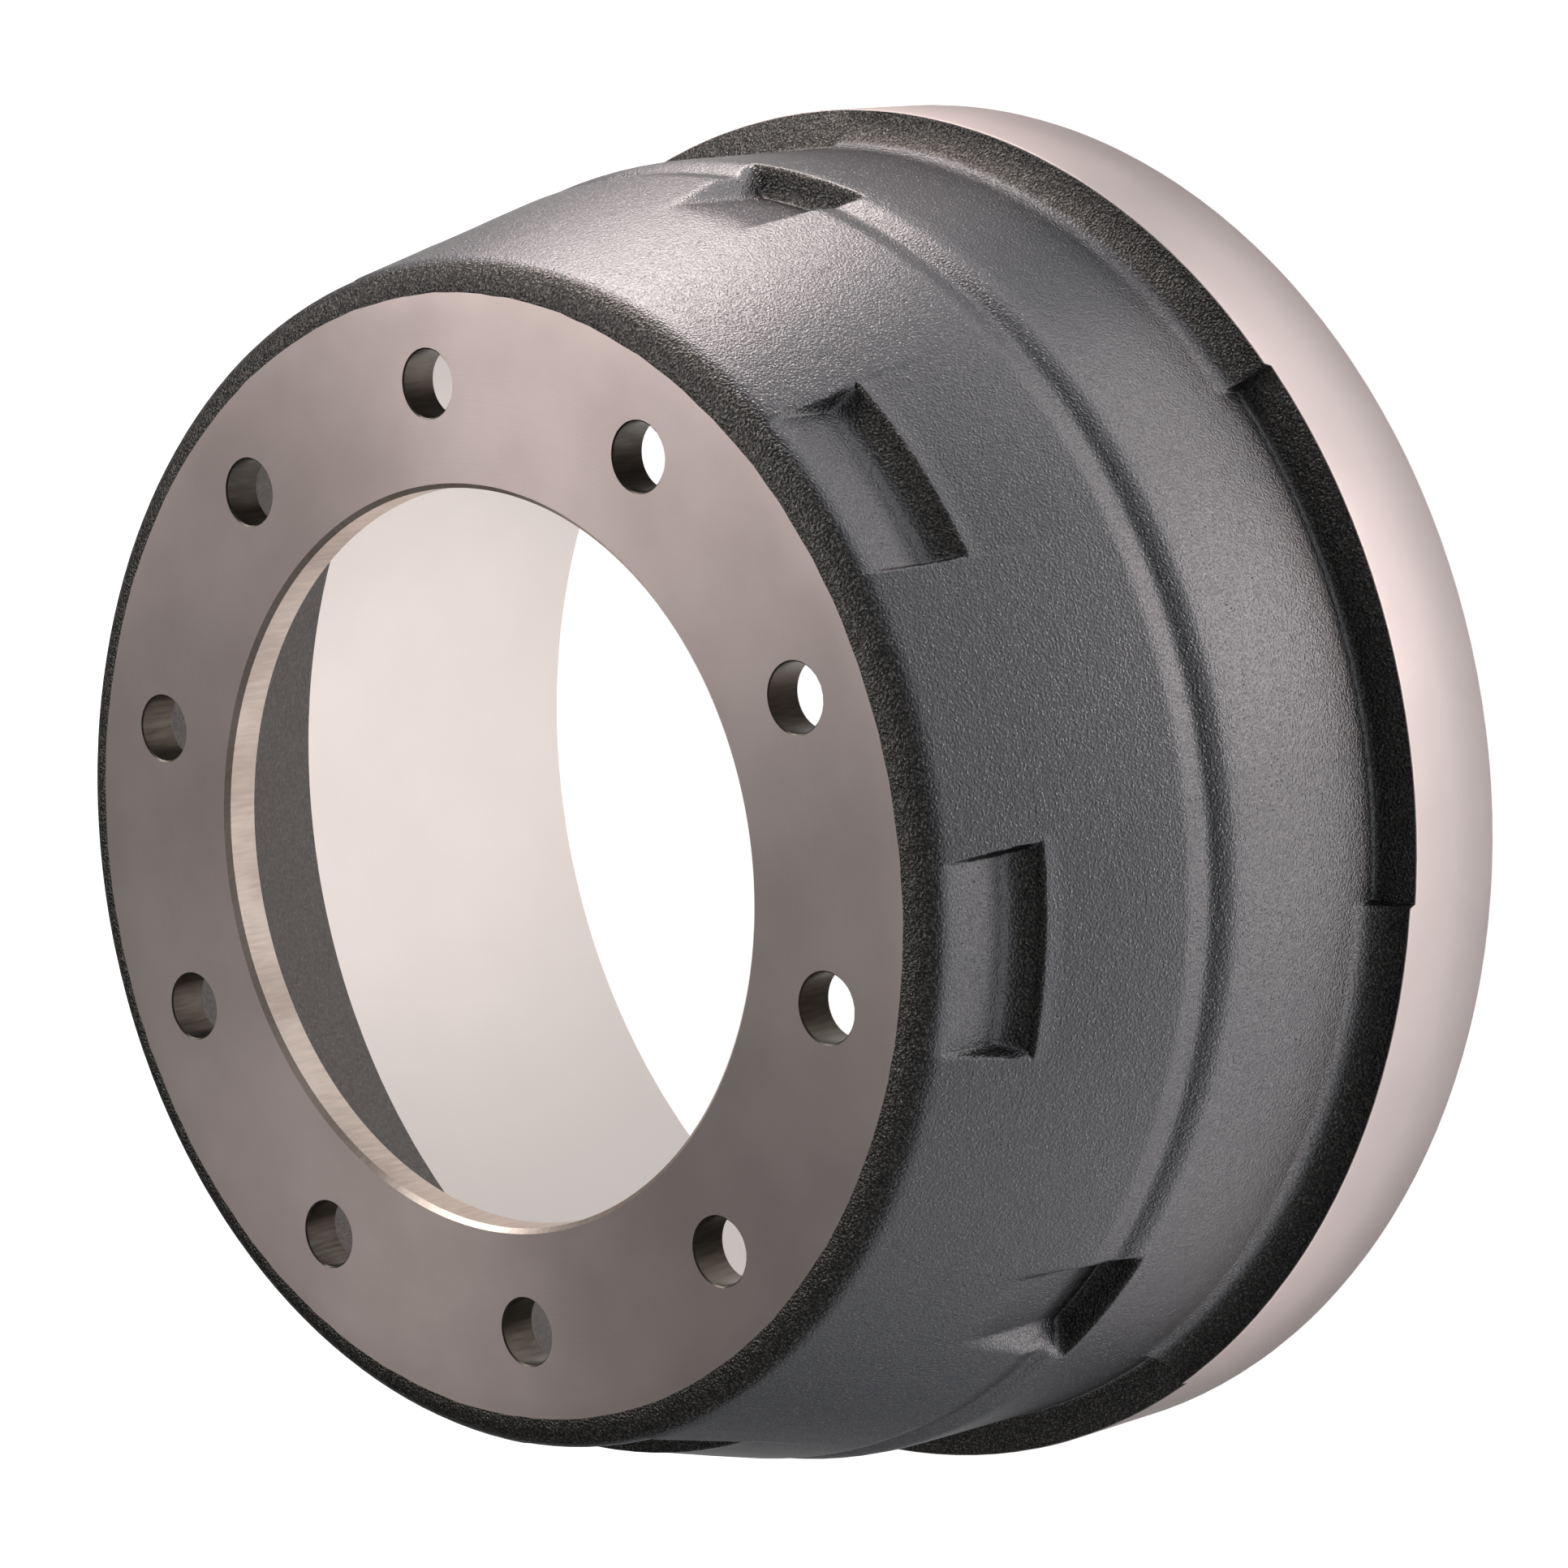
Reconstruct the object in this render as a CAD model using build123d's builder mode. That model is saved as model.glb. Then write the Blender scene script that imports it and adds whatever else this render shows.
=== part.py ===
from build123d import *
import os
from math import cos, radians, sin, tan

# Brake drum, cast in one piece and machined where it fits and works.
# The mounting face is z = 0 and looks along +Z. The drum's body lies below it and stands on its open end.
# +X lies in the mirror plane of the casting, through the middle of one shoulder pocket.

# Braking surface and open end
brake_diameter = 381.0
brake_start = 104.0
mouth_step = 3.8
end_chamfer = 1.0

# Mounting flange with its pilot bore and wheel bolt holes
flange_thickness = 12.7
pilot_diameter = 223.0
pilot_chamfer = 1.5
bolt_circle_diameter = 285.75
bolt_count = 10
bolt_hole_diameter = 20.64
bolt_phase = 18.0
web_fillet = 12.0

# Cast outside, from the flange to the open end
cone_angle = 14.04
cone_length = 89.2
lip_radius = 11.0
crease_width = 8.8
crease_height = 4.0
crease_run = 9.0
barrel_draft = 1.0
barrel_wall = 14.7
barrel_length = 53.3
band_height = 12.3
band_width = 41.0
band_rear_run = 5.0
tail_length = 12.6

# Pockets repeat this many times round the drum, with a shoulder pocket at +X
pocket_group_count = 3

# Rim pockets, a pair in each group, open towards the flange
rim_pocket_depth = 8.1
rim_pocket_length = 39.0
rim_pocket_width = 55.5
rim_pocket_slope = 27.0
rim_pocket_pair_angle = 22.4

# Shoulder pockets, one midway between each two pairs of rim pockets
shoulder_pocket_depth = 10.0
shoulder_pocket_width = 30.0
shoulder_pocket_slope = 44.0
core_fillet = 3.0

# Flats cut through the cove in front of the machined band, left bare: two wide ones and two narrow
# ones, each opposite its like. The phase is the angle of the first one's middle.
flats_of_a_kind = 2
wide_flat_angle = 45.2
wide_flat_drop = 2.4
wide_flat_phase = -60.0
narrow_flat_angle = 36.0
narrow_flat_drop = 3.6
narrow_flat_phase = 30.0

# Radii, each built up from the braking surface
brake_radius = brake_diameter / 2
barrel_radius = brake_radius + barrel_wall
band_radius = barrel_radius + band_height
barrel_front_radius = barrel_radius - barrel_draft
crease_radius = barrel_front_radius - crease_height
slope = tan(radians(cone_angle))
lip_corner_radius = crease_radius - cone_length * slope
mouth_radius = brake_radius - mouth_step
web_corner_radius = mouth_radius - (brake_start - flange_thickness) * slope

# Heights, counted down from the mounting face
crease_end = cone_length + crease_width
barrel_start = crease_end + crease_run
cove_start = barrel_start + barrel_length
band_start = cove_start + band_height
band_end = band_start + band_width
drum_depth = band_end + tail_length


def pocket_outline(floor_radius, floor_width, side_slope, top_radius):
    """Pocket across the axis: a floor round the drum's axis between two sides that open outwards."""
    half_angle = floor_width / 2 / floor_radius
    low = Vector(floor_radius * cos(half_angle), floor_radius * sin(half_angle))
    spread = (top_radius - low.X) * tan(radians(side_slope))
    high = Vector(top_radius, low.Y + spread)
    ThreePointArc((low.X, -low.Y), (floor_radius, 0), (low.X, low.Y))
    Polyline((low.X, low.Y), (high.X, high.Y), (high.X, -high.Y), (low.X, -low.Y))


def corner(sketch, radius, height):
    """The section's corner nearest to a radius and a height."""
    return sketch.vertices().sort_by_distance((radius, height, 0))[0]


# Core of a rim pocket: its floor runs along the axis, its back wall stands across it
rim_floor_radius = lip_corner_radius + rim_pocket_length * slope - rim_pocket_depth
with BuildPart() as rim_core:
    with BuildSketch(Plane.XY.offset(-rim_pocket_length)):
        with BuildLine():
            pocket_outline(rim_floor_radius, rim_pocket_width, rim_pocket_slope, barrel_radius)
        make_face()
    extrude(amount=rim_pocket_length)
    floor = rim_core.faces().filter_by(GeomType.CYLINDER)[0]
    fillet(floor.edges().group_by(Axis.Z)[0] + floor.edges().filter_by(Axis.Z), core_fillet)

# Core of a shoulder pocket: the same form, longer and narrower, ending where the barrel begins
shoulder_floor_radius = barrel_front_radius - shoulder_pocket_depth
shoulder_core_length = barrel_start - rim_pocket_length
with BuildPart() as shoulder_core:
    with BuildSketch(Plane.XY.offset(-barrel_start)):
        with BuildLine():
            pocket_outline(
                shoulder_floor_radius, shoulder_pocket_width, shoulder_pocket_slope, band_radius
            )
        make_face()
    extrude(amount=shoulder_core_length)
    floor = shoulder_core.faces().filter_by(GeomType.CYLINDER)[0]
    fillet(floor.edges().group_by(Axis.Z)[0] + floor.edges().filter_by(Axis.Z), core_fillet)


# A flat takes the cove away down to a face that leans back a little
def flat_cutter(width_angle, drop):
    """Solid of a flat, turned from +X through its width about the axis."""
    with BuildPart() as cutter:
        with BuildSketch(Plane.XZ):
            with BuildLine():
                Polyline(
                    (barrel_radius, -band_start),
                    (barrel_radius, -cove_start + band_height),
                    (band_radius + band_height, -cove_start + band_height),
                    (band_radius + band_height, -band_start - 2 * drop),
                    close=True,
                )
            make_face()
        revolve(axis=Axis.Z, revolution_arc=width_angle)
    return cutter.part


with BuildPart() as brake_drum:
    # Half section, from the mounting face down the outside and back up the inside
    with BuildSketch(Plane.XZ) as section:
        with BuildLine() as outline:
            outside = Polyline(
                (pilot_diameter / 2, 0),
                (lip_corner_radius, 0),
                (crease_radius, -cone_length),
                (crease_radius, -crease_end),
                (barrel_front_radius, -barrel_start),
                (barrel_radius, -cove_start),
            )
            cove = RadiusArc(outside @ 1, (band_radius, -band_start), -band_height)
            inside = Polyline(
                cove @ 1,
                (band_radius, -band_end),
                (barrel_radius, -band_end - band_rear_run),
                (barrel_radius, -drum_depth),
                (brake_radius, -drum_depth),
                (brake_radius, -brake_start),
                (mouth_radius, -brake_start),
                (web_corner_radius, -flange_thickness),
                (pilot_diameter / 2, -flange_thickness),
                (pilot_diameter / 2, 0),
            )
        make_face()
        fillet(corner(section, lip_corner_radius, 0), lip_radius)
        fillet(corner(section, web_corner_radius, -flange_thickness), web_fillet)
        chamfer(corner(section, brake_radius, -drum_depth), end_chamfer)
        chamfer(corner(section, pilot_diameter / 2, 0), pilot_chamfer)
        chamfer(corner(section, pilot_diameter / 2, -flange_thickness), pilot_chamfer)
    revolve(axis=Axis.Z)
    # Wheel bolt holes through the flange
    with PolarLocations(bolt_circle_diameter / 2, bolt_count, start_angle=bolt_phase):
        Hole(bolt_hole_diameter / 2, depth=flange_thickness)
    # Rim pockets in pairs, then the shoulder pockets between the pairs
    pair_middle = 180 / pocket_group_count
    for side in (-rim_pocket_pair_angle, rim_pocket_pair_angle):
        with PolarLocations(0, pocket_group_count, start_angle=pair_middle + side):
            add(rim_core.part, mode=Mode.SUBTRACT)
    with PolarLocations(0, pocket_group_count):
        add(shoulder_core.part, mode=Mode.SUBTRACT)
    with PolarLocations(0, flats_of_a_kind, start_angle=wide_flat_phase - wide_flat_angle / 2):
        add(flat_cutter(wide_flat_angle, wide_flat_drop), mode=Mode.SUBTRACT)
    with PolarLocations(0, flats_of_a_kind, start_angle=narrow_flat_phase - narrow_flat_angle / 2):
        add(flat_cutter(narrow_flat_angle, narrow_flat_drop), mode=Mode.SUBTRACT)
brake_drum.part.label = "brake_drum"
os.makedirs("parts", exist_ok=True)
export_step(brake_drum.part, "parts/brake_drum.step")
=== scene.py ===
import bpy
import numpy as np
from mathutils import Matrix, Vector


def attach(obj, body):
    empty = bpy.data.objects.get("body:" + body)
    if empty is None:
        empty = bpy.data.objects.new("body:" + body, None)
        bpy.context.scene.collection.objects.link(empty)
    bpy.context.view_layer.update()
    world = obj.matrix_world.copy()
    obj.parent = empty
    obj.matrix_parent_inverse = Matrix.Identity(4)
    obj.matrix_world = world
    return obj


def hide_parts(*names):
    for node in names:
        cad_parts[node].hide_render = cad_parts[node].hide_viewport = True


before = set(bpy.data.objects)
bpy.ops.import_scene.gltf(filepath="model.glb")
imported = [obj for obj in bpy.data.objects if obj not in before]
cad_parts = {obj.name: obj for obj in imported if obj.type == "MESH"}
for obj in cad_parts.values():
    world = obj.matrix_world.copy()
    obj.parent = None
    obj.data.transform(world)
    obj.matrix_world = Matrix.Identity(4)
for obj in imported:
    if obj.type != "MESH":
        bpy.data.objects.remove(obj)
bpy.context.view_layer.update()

# The casting's outside
# One piece of grey iron, poured with cores that leave the pockets. It keeps its rough skin from the
# rounded lip to the cove in front of the band. Lengths are in millimetres, depths count from the face.
MM = 0.001
brake_radius = 190.5
barrel_radius = 205.2
crease_radius = 200.2
band_radius = 217.5
cone_slope = 0.25
cone_end = 89.2
crease_end = 98.0
barrel_start = 107.0
cove_start = 160.3
band_start = 172.6
band_end = 213.6
drum_depth = 226.2
lip_corner_radius = crease_radius - cone_end * cone_slope
lip_radius = 11.0
flange_depth = 12.7
edge_break = 0.35

# Six rim pockets in pairs and three shoulder pockets. A pocket's floor meets its sides and its back wall
# in fillets: the wall stands on a hollow foot, which is long under the rim pockets' walls.
rim_pocket_middles = np.add.outer([60, 180, 300], [-22.4, 22.4]).ravel()
rim_pocket_floor = 179.54
rim_pocket_wall = 39.0
rim_pocket_half_width = 27.75
rim_pocket_slope = np.tan(np.radians(27))
shoulder_pocket_middles = np.array([0, 120, 240])
shoulder_pocket_floor = 194.2
shoulder_pocket_half_width = 15.0
shoulder_pocket_slope = np.tan(np.radians(44))
side_fillet = 2.4
side_reach = 6.0
rim_wall_foot, shoulder_wall_foot = 9.0, 3.0
foot_share, edge_share = 0.72, 0.35
wall_draft = 0.3
skin_rounding = 1.3
between_pockets = 45.0

# Flats cut through the cove, wide and narrow: their middles, half their angle and their drop
flat_ends = 1.2
flat_fillet = 3.0
wide_flats = (np.array([-60, 120]), 22.6, 2.4)
narrow_flats = (np.array([30, 210]), 18.0, 3.6)


def arc(middle, radius, first, last, steps):
    """Points of an arc: the middle plus the radius times the cosine and sine of an even run of angles."""
    angle = np.radians(np.linspace(first, last, steps + 1))
    return np.stack([middle[0] + radius * np.cos(angle), middle[1] + radius * np.sin(angle)], axis=1)


def straight(start, end, steps):
    """Points of a line: an even run of shares of the way from start to end."""
    share = np.linspace(0, 1, steps + 1)[:, None]
    return (1 - share) * np.array(start, float) + share * np.array(end, float)


def away_from(turn, middles):
    """Angle between each column and the nearest of some middles, in degrees."""
    apart = np.abs((turn[:, None] - middles[None, :] + 180) % 360 - 180)
    return apart.min(axis=1)


def soft_min(a, b, blend):
    """The lower of two heights, with their corner rounded off by a parabola of the given height."""
    near = np.maximum(blend - np.abs(a - b), 0) / blend
    return np.minimum(a, b) - near * near * blend / 4


def pocket_floor(turn, middles, floor, half_width, slope):
    """Radius of a pocket's floor and sides at each column. The floor runs round the axis. Each side is a
    straight line from the floor's edge that leans outwards, followed a few degrees past it, and meets the
    floor in a soft fillet."""
    half_angle = half_width / floor
    apart = np.radians(np.minimum(away_from(turn, middles), np.degrees(half_angle) + side_reach))
    low_x, low_y = floor * np.cos(half_angle), floor * np.sin(half_angle)
    side = (low_y - low_x * slope) / (np.sin(apart) - slope * np.cos(apart))
    return -soft_min(-np.full_like(side, floor), -side, side_fillet)


def with_pocket(skin, depth, skin_at, floor, wall, wall_foot):
    """Radius of the outside where a pocket is cut in it, for every row and column. The pocket's floor and
    sides replace the skin where they lie lower. Towards the wall the floor rises in a parabola, its foot,
    then goes up the drafted wall, and turns over a rounded edge on to the skin."""
    skin, depth, floor = skin[:, None], depth[:, None], floor[None, :]
    top = skin_at(np.array([wall + wall_draft]))[0]
    low = soft_min(skin, floor, skin_rounding)
    height = np.maximum(top - soft_min(top, floor, skin_rounding), 0)
    foot = np.minimum(wall_foot, height * foot_share)
    edge = np.minimum(skin_rounding, height * edge_share)
    along = np.clip((depth - wall + wall_foot) / wall_foot, 0, 1)
    rising = low + foot * along * along
    up = np.clip((depth - wall) / wall_draft, 0, 1)
    on_wall = (1 - up) * (low + foot) + up * (top - edge)
    over = np.clip((depth - wall - wall_draft) / skin_rounding, 0, 1)
    behind = skin - edge * (1 - np.sqrt(1 - (1 - over) ** 2))
    result = np.where(depth <= wall, rising, on_wall)
    return np.where(depth >= wall + wall_draft, behind, result)


# Depth and radius of the cast skin's straight runs: the cone, the land of the crease, its soft rise and the
# barrel. The first and the last point only carry the line on past the skin's ends.
past_end = 20
crease_rise = [(101.2, 202.15), (105.2, 203.75), (110.5, 204.3)]
skin_line = np.array([
    (-past_end, lip_corner_radius - past_end * cone_slope), (0, lip_corner_radius),
    (cone_end, crease_radius), (crease_end, crease_radius), *crease_rise,
    (cove_start, barrel_radius), (cove_start + past_end, barrel_radius)
])
skin_softness = 3.4


def skin_radius(depth):
    """Radius of the cast skin at a depth: the mean of its straight runs over a window, weighted by one plus
    a cosine, so that the middle counts most."""
    offset = np.linspace(-1, 1, 41)
    weight = 1 + np.cos(np.pi * offset)
    nearby = np.interp(depth[..., None] + skin_softness * offset, skin_line[:, 0], skin_line[:, 1])
    return (nearby * weight).sum(axis=-1) / weight.sum()


def wall_rows(wall, wall_foot):
    """Depths of the rows that carry a pocket's back wall: closer together up its foot and round its edge."""
    foot = wall - wall_foot * np.array([1, 0.85, 0.7, 0.57, 0.44, 0.32, 0.2, 0.1, 0])
    edge = wall + wall_draft + skin_rounding * (1 - np.cos(np.radians([0, 30, 52, 72, 90])))
    return np.concatenate([foot, [wall + wall_draft / 2], edge])


lip_turn = np.degrees(np.arctan(cone_slope))
lip_reach = lip_radius * np.tan(np.radians(90 - lip_turn) / 2)
face_radius = lip_corner_radius - lip_reach
lip = arc((face_radius, -lip_radius), lip_radius, 90, lip_turn, 8)
crease_rows = np.arange(85.6, 110.5, 0.8)
cone_depths = np.concatenate([
    [10, 13, 16.5, 20.5, 25, 29.5, 33], wall_rows(rim_pocket_wall, rim_wall_foot),
    [42.5, 47, 52, 57, 61, 66, 72, 78, 83], crease_rows, wall_rows(barrel_start, shoulder_wall_foot),
    [112, 118, 126, 136, 147, 155]
])
cone_depths = np.unique(np.round(cone_depths, 3))
least_row = 0.03
cone_depths = cone_depths[np.concatenate([[True], np.diff(cone_depths) > least_row])]

# The cove and the flats that are cut through it, with the same number of rows each
cove = arc((band_radius, -cove_start), band_radius - barrel_radius, 180, 270, 12)


def flat_face(drop):
    """Section of a flat: down the barrel, round a small arc, and out along a face that leans back."""
    corner = np.array([barrel_radius, -band_start])
    outer = np.array([band_radius, -band_start - drop])
    lean = np.degrees(np.arctan2(drop, band_radius - barrel_radius))
    reach = flat_fillet * np.tan(np.radians(90 + lean) / 2)
    bend = arc(corner + (flat_fillet, reach), flat_fillet, 180, 270 - lean, 6)
    down = straight((barrel_radius, -cove_start), bend[0], 3)
    return np.concatenate([down, bend[1:], straight(bend[-1], outer, 3)[1:]])


# Columns round the drum, in degrees: even ones, and close ones where a pocket's side or a flat's end
# stands. None lies just beside the edge of a tenth, because the flange's grids meet there.
tenth = 36
even_step, least_step, least_gap = 2.25, 0.06, 0.7
rim_side = np.array([
    7.4, 7.9, 8.2, 8.45, 8.65, 8.82, 8.97, 9.12, 9.27, 9.42, 9.57, 9.72, 9.87, 10.05, 10.3, 10.8
])
shoulder_side = np.array([
    3.3, 3.7, 4.0, 4.2, 4.4, 4.6, 4.8, 5.05, 5.3, 5.55, 5.8, 6.05, 6.3, 6.5, 6.7, 6.9, 7.2, 7.7
])
end_shares = np.array([-0.8, -0.45, -0.25, -0.08, 0.08, 0.25, 0.45, 0.8])
end_side = np.degrees(end_shares * flat_ends / band_radius)
close = [np.add.outer(rim_pocket_middles, s * rim_side) for s in (-1, 1)]
close += [np.add.outer(shoulder_pocket_middles, s * shoulder_side) for s in (-1, 1)]
close += [
    np.add.outer(middles, s * (half + end_side))
    for middles, half, _ in (wide_flats, narrow_flats) for s in (-1, 1)
]
close = np.unique(np.round(np.concatenate([c.ravel() for c in close]) % 360, 3))
close = close[away_from(close, np.arange(0.0, 360, tenth)) > 2 * least_step]
even = np.arange(0, 360, even_step)
even = even[(away_from(even, close) > least_gap) | (even % tenth == 0)]
turn = np.sort(np.concatenate([close, even]))
turn = turn[np.concatenate([[True], (np.diff(turn) > least_step)])]
cosine, sine = np.cos(np.radians(turn)), np.sin(np.radians(turn))


def share_of_flat(flats):
    """1 on a flat, 0 beside it, and over its end the smooth step of three squares less two cubes."""
    middles, half_angle, _ = flats
    past = (half_angle - away_from(turn, middles)) * np.radians(1) * band_radius / flat_ends + 0.5
    past = np.clip(past, 0, 1)
    return past * past * (3 - 2 * past)


skin = skin_radius(cone_depths)
rim_floor = pocket_floor(
    turn, rim_pocket_middles, rim_pocket_floor, rim_pocket_half_width, rim_pocket_slope
)
shoulder_floor = pocket_floor(
    turn, shoulder_pocket_middles, shoulder_pocket_floor, shoulder_pocket_half_width,
    shoulder_pocket_slope
)
with_rim = with_pocket(skin, cone_depths, skin_radius, rim_floor, rim_pocket_wall, rim_wall_foot)
with_shoulder = with_pocket(
    skin, cone_depths, skin_radius, shoulder_floor, barrel_start, shoulder_wall_foot
)
cone_radii = np.where(cone_depths[:, None] < between_pockets, with_rim, with_shoulder)

# Behind each rim pocket its core leaves a shallow step in the skin, that runs out along the cone
core_edge, core_edge_width, core_step = 9.85, 0.5, 0.4
step_start, step_end = 41.0, 74.0
past_edge = np.clip((core_edge - away_from(turn, rim_pocket_middles)) / core_edge_width + 0.5, 0, 1)
run_out = np.clip((step_end - cone_depths) / (step_end - step_start), 0, 1) * (cone_depths > step_start)
cone_radii = cone_radii - core_step * run_out[:, None] * past_edge[None, :]
lip_radii = soft_min(lip[:, :1], rim_floor[None, :], skin_rounding)


def face_edge(angle):
    """Radius of the turned face's edge, where it runs out in the rough lip: a sum of four sine waves, each
    with its height, its number round the axis and its shift."""
    waves = ((0.08, 7, 0.4), (0.08, 23, 1.9), (0.09, 61, 3.1), (0.07, 97, 5.2))
    return face_radius + sum(high * np.sin(number * angle + shift) for high, number, shift in waves)


lip_radii[0] = face_edge(np.radians(turn))

# The lower part, turned and as cast
# The band is turned true; behind it the rim stays as cast, down to the turned end that it stands on.
# Inside come the ground braking surface, the relief at its end and the cast cone up to the web.
mouth_radius = brake_radius - 3.8
brake_start = 104.0
end_chamfer = 1.0
web_fillet = 12.0
mouth_rounding, mouth_run = 0.5, 2.0

# Depths of rows that only keep the faces short, on the band and the braking surface, then a radius on the
# turned end, and the run-out behind the band as steps of (out from the barrel, down from the band)
band_rows = [193.0]
brake_rows = [190.0, 150.0, 120.0]
end_middle_radius = 198.0
rear_runout = [(9.5, 0.3), (5.5, 2.2), (2.2, 4.3), (0.5, 6.3), (0.0, 8.2)]

web_corner_radius = mouth_radius - (brake_start - flange_depth) * cone_slope
web_reach = web_fillet * np.tan(np.radians(90 - lip_turn) / 2)
web_radius = web_corner_radius - web_reach
web = arc((web_radius, -flange_depth - web_fillet), web_fillet, lip_turn, 90, 7)
broken = edge_break * np.array([1, 0.3, 0])
band_top = np.stack([band_radius - broken, -band_start - broken[::-1]], axis=1)
band_top = np.concatenate([band_top, [(band_radius, -band_start - 2 * edge_break)]])
band_foot = np.stack([band_radius - broken[::-1], -band_end + broken], axis=1)
rear = (barrel_radius, -band_end) + np.array(rear_runout) * (1, -1)
rim_foot = np.stack([barrel_radius - 2 * broken[::-1], -drum_depth + 2 * broken], axis=1)
band_piece = np.concatenate([[(band_radius, -depth) for depth in band_rows], band_foot])
tail_piece = np.concatenate([rear, rim_foot])
end_piece = np.array([(end_middle_radius, -drum_depth), (brake_radius + end_chamfer, -drum_depth)])
brake_depths = [drum_depth - end_chamfer, *brake_rows, brake_start]
brake_piece = np.array([(brake_radius, -depth) for depth in brake_depths])
relief_piece = np.array([(mouth_radius + edge_break, -brake_start)])
inner_piece = np.concatenate([
    [(mouth_radius, -brake_start + edge_break)],
    straight((mouth_radius - mouth_rounding, -brake_start + mouth_run), web[0], 4), web[1:]
])

# One grid from the face's outer edge, down the outside, round the end and up the inside to the web. Where a
# flat is, the cove's rows are moved on to its face, by the flat's share at each column.
wide_share, narrow_share = share_of_flat(wide_flats), share_of_flat(narrow_flats)
to_wide, to_narrow = flat_face(wide_flats[2]) - cove, flat_face(narrow_flats[2]) - cove
cove_rows = (
    cove[:, None] + wide_share[None, :, None] * to_wide[:, None]
    + narrow_share[None, :, None] * to_narrow[:, None]
)
sunk = wide_share * wide_flats[2] + narrow_share * narrow_flats[2]
top_rows = np.repeat(band_top[:, None], len(turn), axis=1)
top_rows[:, :, 1] -= sunk[None, :]
outside = [
    np.stack([lip_radii, np.broadcast_to(lip[:, 1:], lip_radii.shape)], axis=2),
    np.stack([cone_radii, np.broadcast_to(-cone_depths[:, None], cone_radii.shape)], axis=2),
    cove_rows[:-1], top_rows
]
lower = [np.repeat(p[:, None], len(turn), axis=1) for p in (
    band_piece, tail_piece, end_piece, brake_piece, relief_piece, inner_piece)]
SKIN, BAND, END, BRAKE, INNER, FACE, BORE, HOLE = range(8)
strips = list(zip(outside + lower, [SKIN, SKIN, SKIN, BAND, BAND, SKIN, END, BRAKE, END, INNER]))
section = np.concatenate([rows for rows, _ in strips])
section_finish = np.concatenate([np.full(len(rows), kind) for rows, kind in strips])[:-1]


def round_the_axis(rows):
    """Points of rows of (radius, height), each column turned about the axis to its own angle."""
    return np.stack([rows[..., 0] * cosine, rows[..., 0] * sine, rows[..., 1]], axis=2)


def quads(rows, columns):
    """Corner numbers of a grid's four-sided faces, each with a next row and a next column. The last column
    is followed by the first."""
    row, column = np.meshgrid(np.arange(rows - 1), np.arange(columns), indexing="ij")
    following = (column + 1) % columns
    corners = [row * columns + column, (row + 1) * columns + column,
               (row + 1) * columns + following, row * columns + following]
    return np.stack(corners, axis=2).reshape(-1, 4)


# The mounting flange
# A flat ring with a pilot bore and ten plain drilled stud holes. Its face is turned, and so is its bore.
# Each hole stands in a tenth of the ring, filled by a grid that goes from the hole to the tenth's edges.
pilot_radius = 111.5
pilot_chamfer = 1.5
hole_circle_radius = 142.875
hole_radius = 10.32
hole_break = 0.45
hole_middles = tenth / 2 + tenth * np.arange(10)
hole_rows = [4.5, 8.5]
pilot = np.array([
    (pilot_radius + pilot_chamfer, 0), (pilot_radius, -pilot_chamfer), (pilot_radius, -flange_depth / 2),
    (pilot_radius, pilot_chamfer - flange_depth), (pilot_radius + pilot_chamfer, -flange_depth)
])
pilot_rows = np.repeat(pilot[:, None], len(turn), axis=1)


def tenth_outline(middle, inner, outer, ragged):
    """Edge of a tenth of the ring, as points: along its inner arc, out, back along its outer arc, and in.
    On both arcs they are the drum's own columns."""
    ahead = (turn - middle + 180) % 360 - 180
    inside = np.sort(ahead[np.abs(ahead) < tenth / 2 - 0.001])
    angles = np.radians(middle + np.concatenate([[-tenth / 2], inside, [tenth / 2]]))
    out = np.linspace(inner, outer, 12)[1:-1]
    outer_radii = face_edge(angles[::-1]) if ragged else np.full(len(angles), outer)
    radii = np.concatenate([np.full(len(angles), inner), out, outer_radii, out[::-1]])
    ends = np.full(len(out), angles[-1]), np.full(len(out), angles[0])
    angles = np.concatenate([angles, ends[0], angles[::-1], ends[1]])
    return np.stack([radii * np.cos(angles), radii * np.sin(angles)], axis=1)


def ring_face(middle, inner, outer, height, shares, ragged):
    """Grid from a stud hole to its tenth's edge: each point lies a share of the way along a line from the
    hole's rim to a point of the edge, and all these lines point at the hole's middle."""
    edge = tenth_outline(middle, inner, outer, ragged)
    centre = hole_circle_radius * np.array([np.cos(np.radians(middle)), np.sin(np.radians(middle))])
    pointing = (edge - centre) / np.linalg.norm(edge - centre, axis=1)[:, None]
    rim = centre + (hole_radius + hole_break) * pointing
    flat = rim[None] + shares[:, None, None] * (edge - rim)[None]
    level = np.full(flat.shape[:2] + (1,), height)
    return np.concatenate([flat, level], axis=2), centre, pointing


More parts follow.
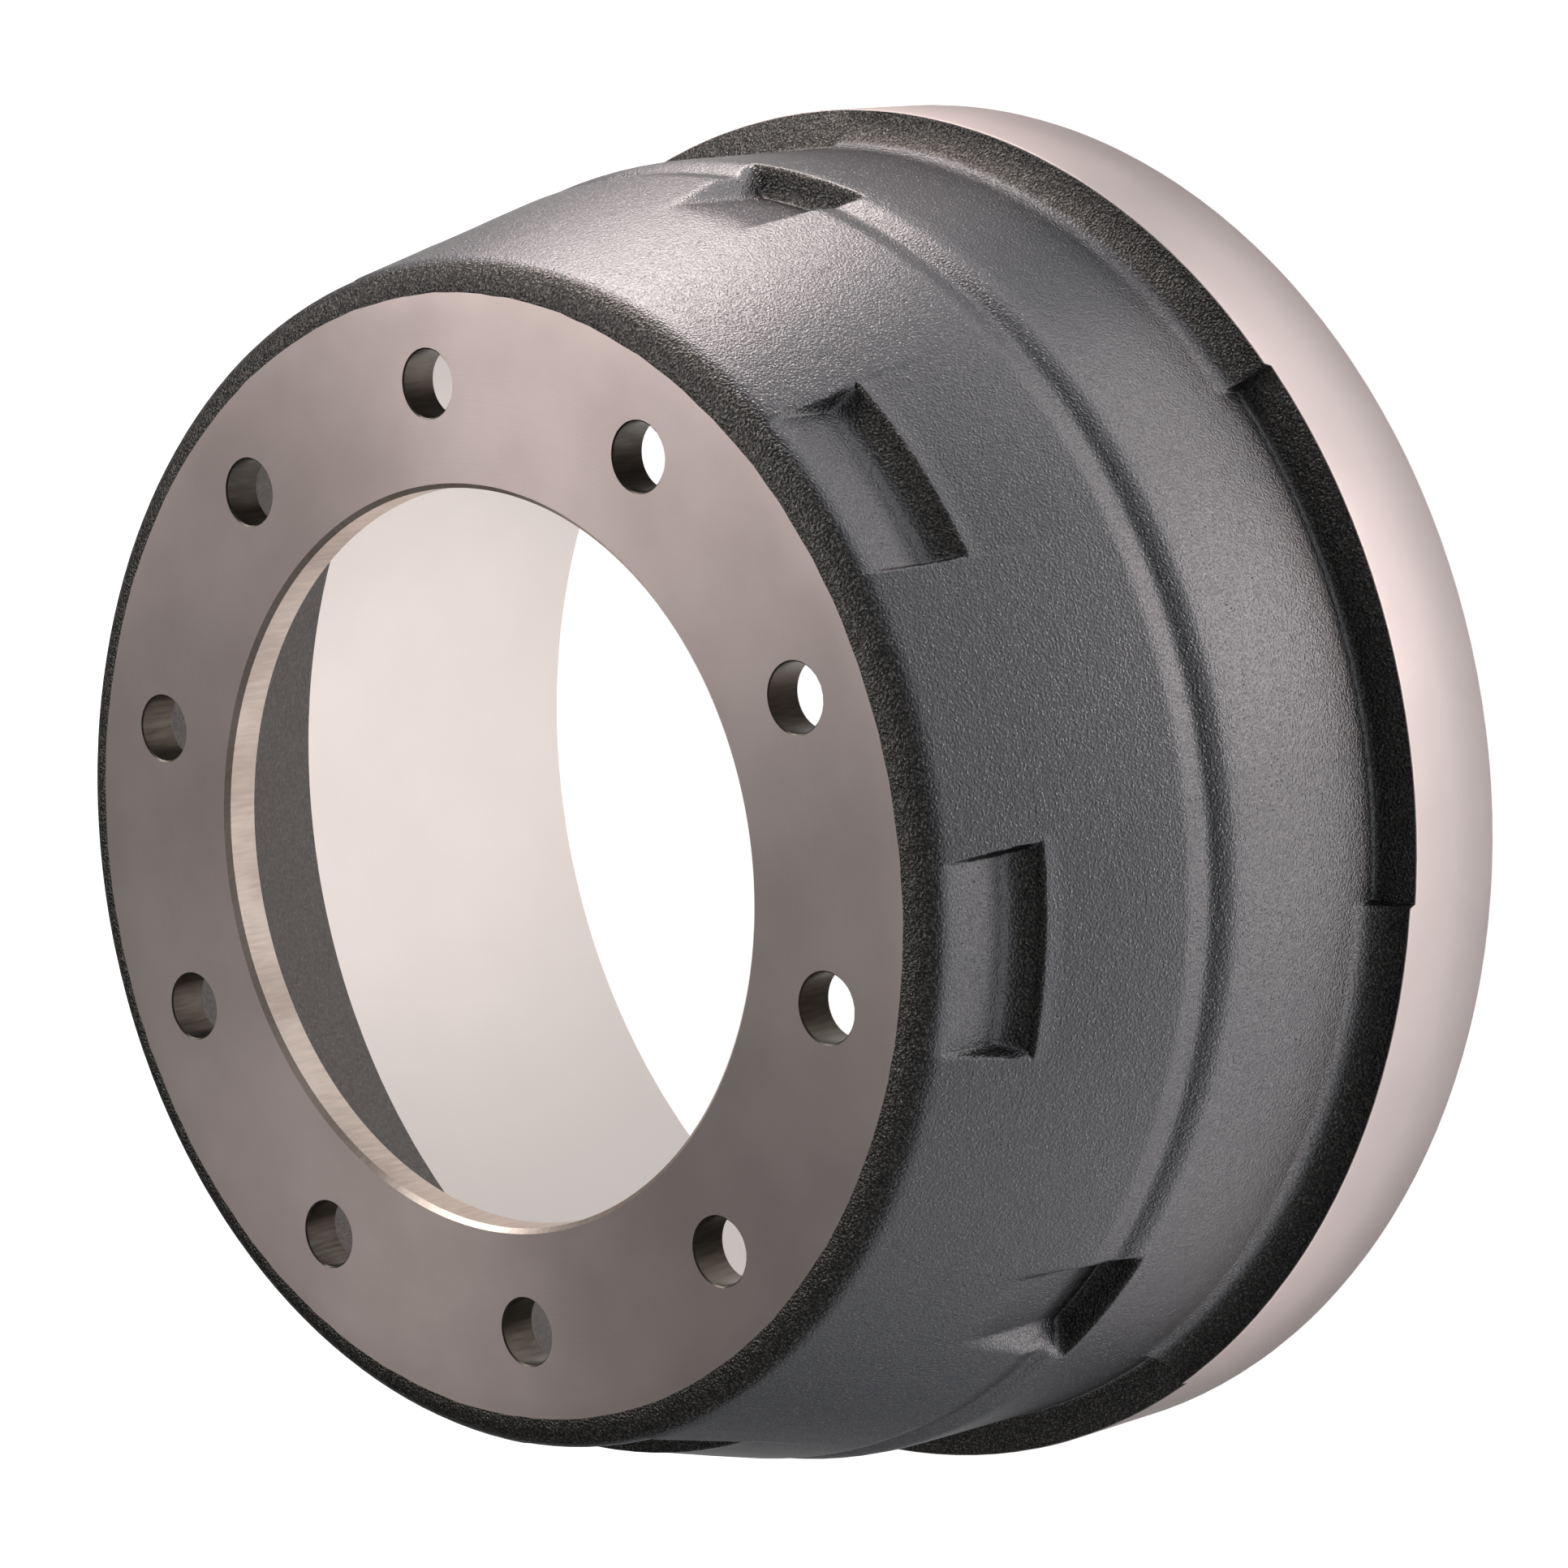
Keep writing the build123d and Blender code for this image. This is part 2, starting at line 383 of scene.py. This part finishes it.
patches = [
    (round_the_axis(section), section_finish),
    (round_the_axis(pilot_rows)[::-1], np.full(len(pilot) - 1, BORE)),
]
shares = np.array([0, 0.12, 0.32, 0.62, 1.0])
ring_start = pilot_radius + pilot_chamfer
bore = np.array([
    (hole_radius + hole_break, 0), (hole_radius, -hole_break),
    *[(hole_radius, -depth) for depth in hole_rows],
    (hole_radius, hole_break - flange_depth), (hole_radius + hole_break, -flange_depth)
])
down_the_hole = np.linspace(0, 1, len(bore))[:, None, None]
for middle in hole_middles:
    front, centre, pointing = ring_face(middle, ring_start, face_radius, 0.0, shares, True)
    back, _, back_pointing = ring_face(middle, ring_start, web_radius, -flange_depth, shares, False)
    aim = pointing[None] + down_the_hole * (back_pointing - pointing)[None]
    aim /= np.linalg.norm(aim, axis=2)[..., None]
    tube = np.concatenate([
        centre + bore[:, None, :1] * aim, np.broadcast_to(bore[:, None, 1:], aim.shape[:2] + (1,))
    ], axis=2)
    patches += [(front[::-1], np.full(len(shares) - 1, FACE)),
                (back, np.full(len(shares) - 1, INNER)),
                (tube, np.full(len(bore) - 1, HOLE))]

# All grids together: equal points are one, so that every seam is closed. Only corners sharper than the
# angle given here stay hard.
sharp_angle = 34
points, corners, finishes, count = [], [], [], 0
for grid, kinds in patches:
    rows, columns = grid.shape[:2]
    points.append(grid.reshape(-1, 3))
    corners.append(quads(rows, columns) + count)
    finishes.append(np.repeat(kinds, columns))
    count += rows * columns
points = np.concatenate(points)
_, first, same = np.unique(np.round(points, 3), axis=0, return_index=True, return_inverse=True)
faces = same.ravel()[np.concatenate(corners)]
mesh = bpy.data.meshes.new("brake_drum_dressed")
mesh.from_pydata(points[first] * MM, [], faces)
mesh.polygons.foreach_set("material_index", np.concatenate(finishes))
mesh.polygons.foreach_set("use_smooth", np.ones(len(faces), bool))
mesh.set_sharp_from_angle(angle=np.radians(sharp_angle))
drum = bpy.data.objects.new("brake_drum_dressed", mesh)
bpy.context.scene.collection.objects.link(drum)


# Finishes
# The skin is bare iron under its dark casting scale, with a fine pebbled grain from the sand mould. The
# turned parts are clean pinkish iron with fine rings. All patterns lie in object coordinates, in metres,
# and the scale of each counts its features in a metre.


def new_group(name, inputs, outputs):
    """An empty node group: inputs are (name, kind, default), outputs are (name, kind)."""
    group = bpy.data.node_groups.new(name, "ShaderNodeTree")
    for title, kind, default in inputs:
        socket = group.interface.new_socket(title, in_out="INPUT", socket_type=kind)
        socket.default_value = default
    for title, kind in outputs:
        group.interface.new_socket(title, in_out="OUTPUT", socket_type=kind)
    return group, group.nodes.new("NodeGroupInput"), group.nodes.new("NodeGroupOutput")


def node(tree, kind, values=(), wires=(), **settings):
    """A node with its settings, the values of some inputs and the wires into others."""
    made = tree.nodes.new(kind)
    for key, value in settings.items():
        setattr(made, key, value)
    for slot, value in dict(values).items():
        made.inputs[slot].default_value = value
    for slot, source in dict(wires).items():
        tree.links.new(source, made.inputs[slot])
    return made


def ramp(tree, source, low, high, bottom=0.0, top=1.0):
    """A value read from low to high and put out from bottom to top, with soft ends."""
    return node(tree, "ShaderNodeMapRange", {1: low, 2: high, 3: bottom, 4: top}, {0: source},
                interpolation_type="SMOOTHSTEP").outputs[0]


def noise(tree, place, scale, detail=2.0, roughness=0.5):
    """Noise value at a place; the scale counts the features in a metre."""
    return node(tree, "ShaderNodeTexNoise", {"Scale": scale, "Detail": detail, "Roughness": roughness},
                {"Vector": place}).outputs["Fac"]


def blend(tree, share, first, second):
    """Two colours mixed by the socket of a share. Each is a colour or the socket of one."""
    mixer = node(tree, "ShaderNodeMix", data_type="RGBA")
    tree.links.new(share, mixer.inputs[0])
    for slot, colour in ((6, first), (7, second)):
        if hasattr(colour, "links"):
            tree.links.new(colour, mixer.inputs[slot])
        else:
            mixer.inputs[slot].default_value = (*colour, 1)
    return mixer.outputs[2]


# Cast grain: pebbles of the mould sand, with shallow waves under them, a few pits, and specks where single
# grains stand out; in the skin's colour the specks also carry painted glints. It is rougher where the skin
# looks the way that the mounting face does, at the lip and at the pockets' back walls, where the skin's
# colour also carries painted shade. Relief is the pebbles plus a share of each of the other three.
pebble_scale, wave_scale, pit_scale, speck_scale, pitted_scale = 620.0, 90.0, 260.0, 330.0, 45.0
wave_share, pit_share, speck_share = 0.5, 0.7, 0.3
rougher_upward = 1.5
cast_grain, grain_in, grain_out = new_group(
    "cast_grain",
    [("Pebble Height", "NodeSocketFloat", 0.0001), ("Coarseness", "NodeSocketFloat", 1.0)],
    [("Normal", "NodeSocketVector"), ("Pebble", "NodeSocketFloat"), ("Speck", "NodeSocketFloat"),
     ("Upward", "NodeSocketFloat")]
)
coordinates = node(cast_grain, "ShaderNodeTexCoord")
place = coordinates.outputs["Object"]
lean = node(cast_grain, "ShaderNodeSeparateXYZ", {}, {0: coordinates.outputs["Normal"]})
upward = ramp(cast_grain, lean.outputs["Z"], 0.45, 0.7)
shrink = node(cast_grain, "ShaderNodeMath", {0: 1.0}, {1: grain_in.outputs["Coarseness"]},
              operation="DIVIDE")
sand = node(cast_grain, "ShaderNodeVectorMath", {}, {0: place, 3: shrink.outputs[0]},
            operation="SCALE").outputs[0]
pebble = noise(cast_grain, sand, pebble_scale, 1.6, 0.55)
wave = noise(cast_grain, sand, wave_scale, 2.0, 0.5)
cells = node(cast_grain, "ShaderNodeTexVoronoi", {"Scale": pit_scale}, {"Vector": sand})
pit = ramp(cast_grain, cells.outputs["Distance"], 0.05, 0.22, -1.0, 0.0)
tips = node(cast_grain, "ShaderNodeTexVoronoi", {"Scale": speck_scale}, {"Vector": sand})
speck = ramp(cast_grain, tips.outputs["Distance"], 0.1, 0.3, 1.0, 0.0)
seldom = ramp(cast_grain, noise(cast_grain, sand, pitted_scale), 0.56, 0.68)
pits = node(cast_grain, "ShaderNodeMath", {}, {0: pit, 1: seldom}, operation="MULTIPLY")
relief = node(cast_grain, "ShaderNodeMath", {1: wave_share}, {0: wave, 2: pebble},
              operation="MULTIPLY_ADD")
relief = node(cast_grain, "ShaderNodeMath", {1: pit_share}, {0: pits.outputs[0], 2: relief.outputs[0]},
              operation="MULTIPLY_ADD")
relief = node(cast_grain, "ShaderNodeMath", {1: speck_share}, {0: speck, 2: relief.outputs[0]},
              operation="MULTIPLY_ADD")
rougher = node(cast_grain, "ShaderNodeMath", {1: rougher_upward, 2: 1.0}, {0: upward},
               operation="MULTIPLY_ADD")
height = node(cast_grain, "ShaderNodeMath", {},
              {0: grain_in.outputs["Pebble Height"], 1: rougher.outputs[0]}, operation="MULTIPLY")
bump = node(cast_grain, "ShaderNodeBump", {"Strength": 1.0},
            {"Distance": height.outputs[0], "Height": relief.outputs[0]})
cast_grain.links.new(bump.outputs[0], grain_out.inputs["Normal"])
cast_grain.links.new(pebble, grain_out.inputs["Pebble"])
cast_grain.links.new(speck, grain_out.inputs["Speck"])
cast_grain.links.new(upward, grain_out.inputs["Upward"])

# Turning marks: fine rings about the axis, read from the radius on a face or from the height on a wall.
# Broad patches change the tone, and streaks run along the axis where a tool or a drill has rubbed.
ring_scale, patch_scale, streak_scale = 1500.0, 26.0, 700.0
drawn_out = (1.0, 1.0, 0.12)
turning, marks_in, marks_out = new_group(
    "turning_marks",
    [("Along Axis", "NodeSocketFloat", 0.0), ("Mark Height", "NodeSocketFloat", 0.00001)],
    [("Normal", "NodeSocketVector"), ("Rings", "NodeSocketFloat"), ("Patches", "NodeSocketFloat"),
     ("Streaks", "NodeSocketFloat")]
)
place = node(turning, "ShaderNodeTexCoord").outputs["Object"]
parts = node(turning, "ShaderNodeSeparateXYZ", {}, {0: place})
across = node(turning, "ShaderNodeCombineXYZ", {}, {0: parts.outputs[0], 1: parts.outputs[1]})
radius = node(turning, "ShaderNodeVectorMath", {}, {0: across.outputs[0]}, operation="LENGTH")
track = node(turning, "ShaderNodeMix", {}, {0: marks_in.outputs["Along Axis"], 2: radius.outputs["Value"],
                                          3: parts.outputs[2]})
lane = node(turning, "ShaderNodeCombineXYZ", {}, {0: track.outputs[0]})
rings = noise(turning, lane.outputs[0], ring_scale, 4.0, 0.7)
patches_of_tone = noise(turning, place, patch_scale, 3.0)
along = node(turning, "ShaderNodeVectorMath", {1: drawn_out}, {0: place}, operation="MULTIPLY")
streaks = noise(turning, along.outputs[0], streak_scale, 3.0, 0.6)
bump = node(turning, "ShaderNodeBump", {"Strength": 1.0},
            {"Distance": marks_in.outputs["Mark Height"], "Height": rings})
turning.links.new(bump.outputs[0], marks_out.inputs["Normal"])
turning.links.new(rings, marks_out.inputs["Rings"])
turning.links.new(patches_of_tone, marks_out.inputs["Patches"])
turning.links.new(streaks, marks_out.inputs["Streaks"])


def finish(name, metallic, roughness, edge):
    """A new finish on the drum: its tree and its shader. The edge value is its reflection at a low angle."""
    material = bpy.data.materials.new(name)
    material.use_nodes = True
    tree = material.node_tree
    shader = tree.nodes["Principled BSDF"]
    shader.inputs["Metallic"].default_value = metallic
    shader.inputs["Roughness"].default_value = roughness
    shader.inputs["Specular Tint"].default_value = (edge, edge, edge, 1)
    mesh.materials.append(material)
    return tree, shader


def grouped(tree, group, **values):
    """A group placed in a material, with the values of some of its inputs."""
    made = tree.nodes.new("ShaderNodeGroup")
    made.node_tree = group
    for key, value in values.items():
        made.inputs[key.replace("_", " ")].default_value = value
    return made


# Scale tone for the skin that faces the way the mounting face does: darker than the skin as painted shade
scale_dark_painted_shade, scale_light = (0.078, 0.076, 0.075), (0.215, 0.207, 0.20)
# Painted glints: a paler tone blended in on the specks of single grains
painted_glint_tone, painted_glint_strength = (0.34, 0.325, 0.325), 0.5
skin_grain, inside_grain = 0.00032, 0.00045
wall_mark, fine_mark, honed_mark = 0.00002, 0.000004, 0.000002


def cast_finish(name, dark, light, metallic, roughness, edge, height, coarseness):
    """Rough cast iron: two tones that follow the pebbles with paler specks that are painted glints, a scale
    tone where it is rougher that is darker as painted shade, and their relief."""
    tree, shader = finish(name, metallic, roughness, edge)
    grain = grouped(tree, cast_grain, Pebble_Height=height, Coarseness=coarseness)
    tone = blend(tree, ramp(tree, grain.outputs["Pebble"], 0.35, 0.65), dark, light)
    # Painted glints: the specks lighten the skin's colour
    painted_glint = node(tree, "ShaderNodeMath", {1: painted_glint_strength}, {0: grain.outputs["Speck"]},
               operation="MULTIPLY")
    tone = blend(tree, painted_glint.outputs[0], tone, painted_glint_tone)
    # Painted shade: where the skin faces the way the mounting face does, it takes the darker scale tone
    scale = blend(tree, ramp(tree, grain.outputs["Pebble"], 0.42, 0.74), scale_dark_painted_shade, scale_light)
    tone = blend(tree, grain.outputs["Upward"], tone, scale)
    tree.links.new(tone, shader.inputs["Base Color"])
    tree.links.new(grain.outputs["Normal"], shader.inputs["Normal"])


def turned_finish(name, dark, light, roughness, edge, along_axis, height, anisotropy, metallic=0.92,
                  pattern="Rings"):
    """Turned iron: two close tones that follow half the rings or streaks plus the patches, and a sheen that
    is drawn out across the rings."""
    tree, shader = finish(name, metallic, roughness, edge)
    marks = grouped(tree, turning, Along_Axis=along_axis, Mark_Height=height)
    both = node(tree, "ShaderNodeMath", {1: 0.5},
                {0: marks.outputs[pattern], 2: marks.outputs["Patches"]}, operation="MULTIPLY_ADD")
    tone = blend(tree, ramp(tree, both.outputs[0], 0.5, 1.0), dark, light)
    tree.links.new(tone, shader.inputs["Base Color"])
    tree.links.new(marks.outputs["Normal"], shader.inputs["Normal"])
    shader.inputs["Anisotropic"].default_value = anisotropy
    shader.inputs["Anisotropic Rotation"].default_value = 0.25
    round_axis = node(tree, "ShaderNodeTangent", direction_type="RADIAL", axis="Z")
    tree.links.new(round_axis.outputs[0], shader.inputs["Tangent"])
    return tree, shader


cast_finish("cast_skin", (0.135, 0.137, 0.146), (0.165, 0.167, 0.177), metallic=0.95, roughness=0.33,
            edge=0.22, height=skin_grain, coarseness=0.5)
turned_finish("turned_band", (0.58, 0.518, 0.515), (0.62, 0.554, 0.55), metallic=0.9, roughness=0.45,
              edge=0.1, along_axis=1.0, height=fine_mark, anisotropy=0.3)
turned_finish("turned_end", (0.50, 0.43, 0.43), (0.56, 0.485, 0.48), metallic=0.9, roughness=0.38,
              edge=0.8, along_axis=0.0, height=fine_mark, anisotropy=0.3)

# Painted reflection: the braking surface's colour is brightest round one place and is blended towards a
# duller tone further away from there
painted_highlight_place, painted_dull_tone = (-0.04, 0.186, -0.14), (0.60, 0.552, 0.53)
painted_falloff_start, painted_falloff_full = 0.03, 0.19
tree, shader = turned_finish("braking_surface", (0.88, 0.79, 0.745), (0.92, 0.825, 0.78), roughness=0.3,
                             edge=1.0, along_axis=1.0, height=honed_mark, anisotropy=0.2)
from_painted_highlight = node(tree, "ShaderNodeVectorMath", {1: painted_highlight_place}, operation="DISTANCE")
tree.links.new(node(tree, "ShaderNodeTexCoord").outputs["Object"], from_painted_highlight.inputs[0])
# Painted reflection: a share that grows with the distance from the bright place
painted_falloff = ramp(tree, from_painted_highlight.outputs["Value"], painted_falloff_start, painted_falloff_full)
tone_before_painted_falloff = shader.inputs["Base Color"].links[0].from_socket
# Painted reflection: the turned tone is dulled further from the bright place
tree.links.new(blend(tree, painted_falloff, tone_before_painted_falloff, painted_dull_tone), shader.inputs["Base Color"])

cast_finish("cast_inside", (0.165, 0.152, 0.147), (0.21, 0.194, 0.187), metallic=0.7, roughness=0.55,
            edge=0.6, height=inside_grain, coarseness=0.8)
turned_finish("turned_face", (0.54, 0.465, 0.455), (0.62, 0.54, 0.525), roughness=0.42, edge=1.0,
              along_axis=0.0, height=fine_mark, anisotropy=0.75)
turned_finish("pilot_wall", (0.60, 0.50, 0.44), (0.88, 0.76, 0.68), roughness=0.35, edge=1.0,
              along_axis=1.0, height=wall_mark, anisotropy=0.4, pattern="Streaks")
turned_finish("hole_wall", (0.06, 0.052, 0.043), (0.18, 0.158, 0.132), metallic=0.9, roughness=0.35,
              edge=1.0, along_axis=1.0, height=wall_mark, anisotropy=0.3, pattern="Streaks")

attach(drum, "root")
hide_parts("brake_drum")

# Floor, light and camera
# The drum stands on its open end on a pale floor, on a round white sheet that fills the picture. The camera
# is rolled, so that the photo's up is sideways here.
floor_size, floor_gap = 8.0, 0.0001
sheet_middle = (-0.06, 0.16, 0.0)
sheet_radius, sheet_edge = 0.52, 0.08
beyond_sheet = 0.58
sheet_tone, sheet_glow = (0.86, 0.86, 0.86), 0.92
bpy.ops.mesh.primitive_plane_add(size=floor_size, location=(0, 0, -drum_depth * MM - floor_gap))
floor = bpy.context.object
floor.name = "floor"
floor_material = bpy.data.materials.new("floor_white")
floor_material.use_nodes = True
tree = floor_material.node_tree
paint = tree.nodes["Principled BSDF"]
paint.inputs["Roughness"].default_value = 0.9
from_middle = node(tree, "ShaderNodeVectorMath", {1: sheet_middle}, operation="DISTANCE")
tree.links.new(node(tree, "ShaderNodeTexCoord").outputs["Object"], from_middle.inputs[0])
sheet = ramp(tree, from_middle.outputs["Value"], sheet_radius, sheet_radius + sheet_edge, 1.0, beyond_sheet)
tree.links.new(blend(tree, sheet, (0.0, 0.0, 0.0), sheet_tone), paint.inputs["Base Color"])

# The sheet glows white for the camera and in reflections and lights nothing else, so the shadow stays
rays = node(tree, "ShaderNodeLightPath").outputs
seen = node(tree, "ShaderNodeMath", {}, {0: rays["Is Camera Ray"], 1: rays["Is Glossy Ray"]},
            operation="MAXIMUM")
seen = node(tree, "ShaderNodeMath", {}, {0: seen.outputs[0], 1: rays["Is Transmission Ray"]},
            operation="MAXIMUM")
glow = node(tree, "ShaderNodeMath", {}, {0: seen.outputs[0], 1: sheet}, operation="MULTIPLY")
glow = node(tree, "ShaderNodeMath", {1: sheet_glow}, {0: glow.outputs[0]}, operation="MULTIPLY")
tree.links.new(glow.outputs[0], paint.inputs["Emission Strength"])
paint.inputs["Emission Color"].default_value = (1, 1, 1, 1)
floor.data.materials.append(floor_material)

camera_place = Vector((497.75, -1104.40, 1144.68)) * MM
camera_aim = Vector((5.95, 2.65, -137.20)) * MM
camera_roll = -100.1
camera_lens = 127.9
camera_data = bpy.data.cameras.new("camera")
camera_data.lens = camera_lens
camera_data.sensor_width = 36.0
camera = bpy.data.objects.new("camera", camera_data)
facing = (camera_aim - camera_place).to_track_quat("-Z", "Y").to_matrix().to_4x4()
camera.matrix_world = (
    Matrix.Translation(camera_place) @ facing @ Matrix.Rotation(np.radians(camera_roll), 4, "Z")
)
bpy.context.scene.collection.objects.link(camera)
bpy.context.scene.camera = camera


def softbox(name, azimuth, elevation, distance, size, radiance, colour, aim=(0, 0, 0), beam=180):
    """A rectangular lamp round the axis, at an azimuth, an elevation and a distance from a point that it
    looks at. Its power is the radiance times pi times its area."""
    wide, high = size
    lamp = bpy.data.lights.new(name, "AREA")
    lamp.shape = "RECTANGLE"
    lamp.size, lamp.size_y, lamp.energy = wide, high, radiance * np.pi * wide * high
    lamp.color = colour
    lamp.spread = np.radians(beam)
    around, above = np.radians(azimuth), np.radians(elevation)
    direction = Vector((np.cos(around) * np.cos(above), np.sin(around) * np.cos(above), np.sin(above)))
    holder = bpy.data.objects.new(name, lamp)
    across = Vector((-np.sin(around), np.cos(around), 0))
    facing = Matrix((across, direction.cross(across), direction)).transposed().to_4x4()
    holder.matrix_world = Matrix.Translation(Vector(aim) + direction * distance) @ facing
    holder.visible_camera = False
    bpy.context.scene.collection.objects.link(holder)


warm, neutral, amber = (1.0, 0.93, 0.89), (1.0, 0.98, 0.97), (1.0, 0.87, 0.80)
softbox("key_panel_on_the_floor", 28, -62, 0.0, (0.3, 0.26), 9.6, amber, (0.44, 0.23, -0.16), beam=140)
softbox("sheen_across_the_face", 78, 45, 1.5, (0.6, 0.6), 2.9, warm)
softbox("sheen_along_the_face", 60, 66, 1.5, (0.6, 0.6), 1.7, warm)
softbox("overhead_fill", 114, 80, 2.0, (1.6, 1.6), 0.5, neutral, (0, 0, -0.1))
softbox("sheen_over_the_left", 94, 24, 1.6, (0.5, 0.5), 1.0, warm)
softbox("rim_light", 50, 12, 1.5, (0.9, 0.4), 5.4, neutral)

# Small panels lie on the floor and light the barrel and the crease from below: the azimuth of each, its
# distance from the axis in metres, and its radiance
panel_size, panel_height = (0.14, 0.035), -0.2255
panels = ((-128, 0.295, 3.4), (-104, 0.295, 2.4), (-80, 0.295, 3.3), (-56, 0.295, 5.6), (-32, 0.295, 3.4),
          (12, 0.295, 4.4), (-14, 0.385, 2.4))
for azimuth, out_from_axis, radiance in panels:
    around = np.radians(azimuth)
    panel_place = (out_from_axis * np.cos(around), out_from_axis * np.sin(around), panel_height)
    softbox("panel_on_the_floor", azimuth, -90, 0.0, panel_size, radiance, amber, panel_place)

world_light = 0.1
world = bpy.data.worlds.new("studio")
bpy.context.scene.world = world
world.use_nodes = True
world.node_tree.nodes["Background"].inputs["Color"].default_value = (1, 1, 1, 1)
world.node_tree.nodes["Background"].inputs["Strength"].default_value = world_light
bpy.context.scene.view_settings.view_transform = "Standard"
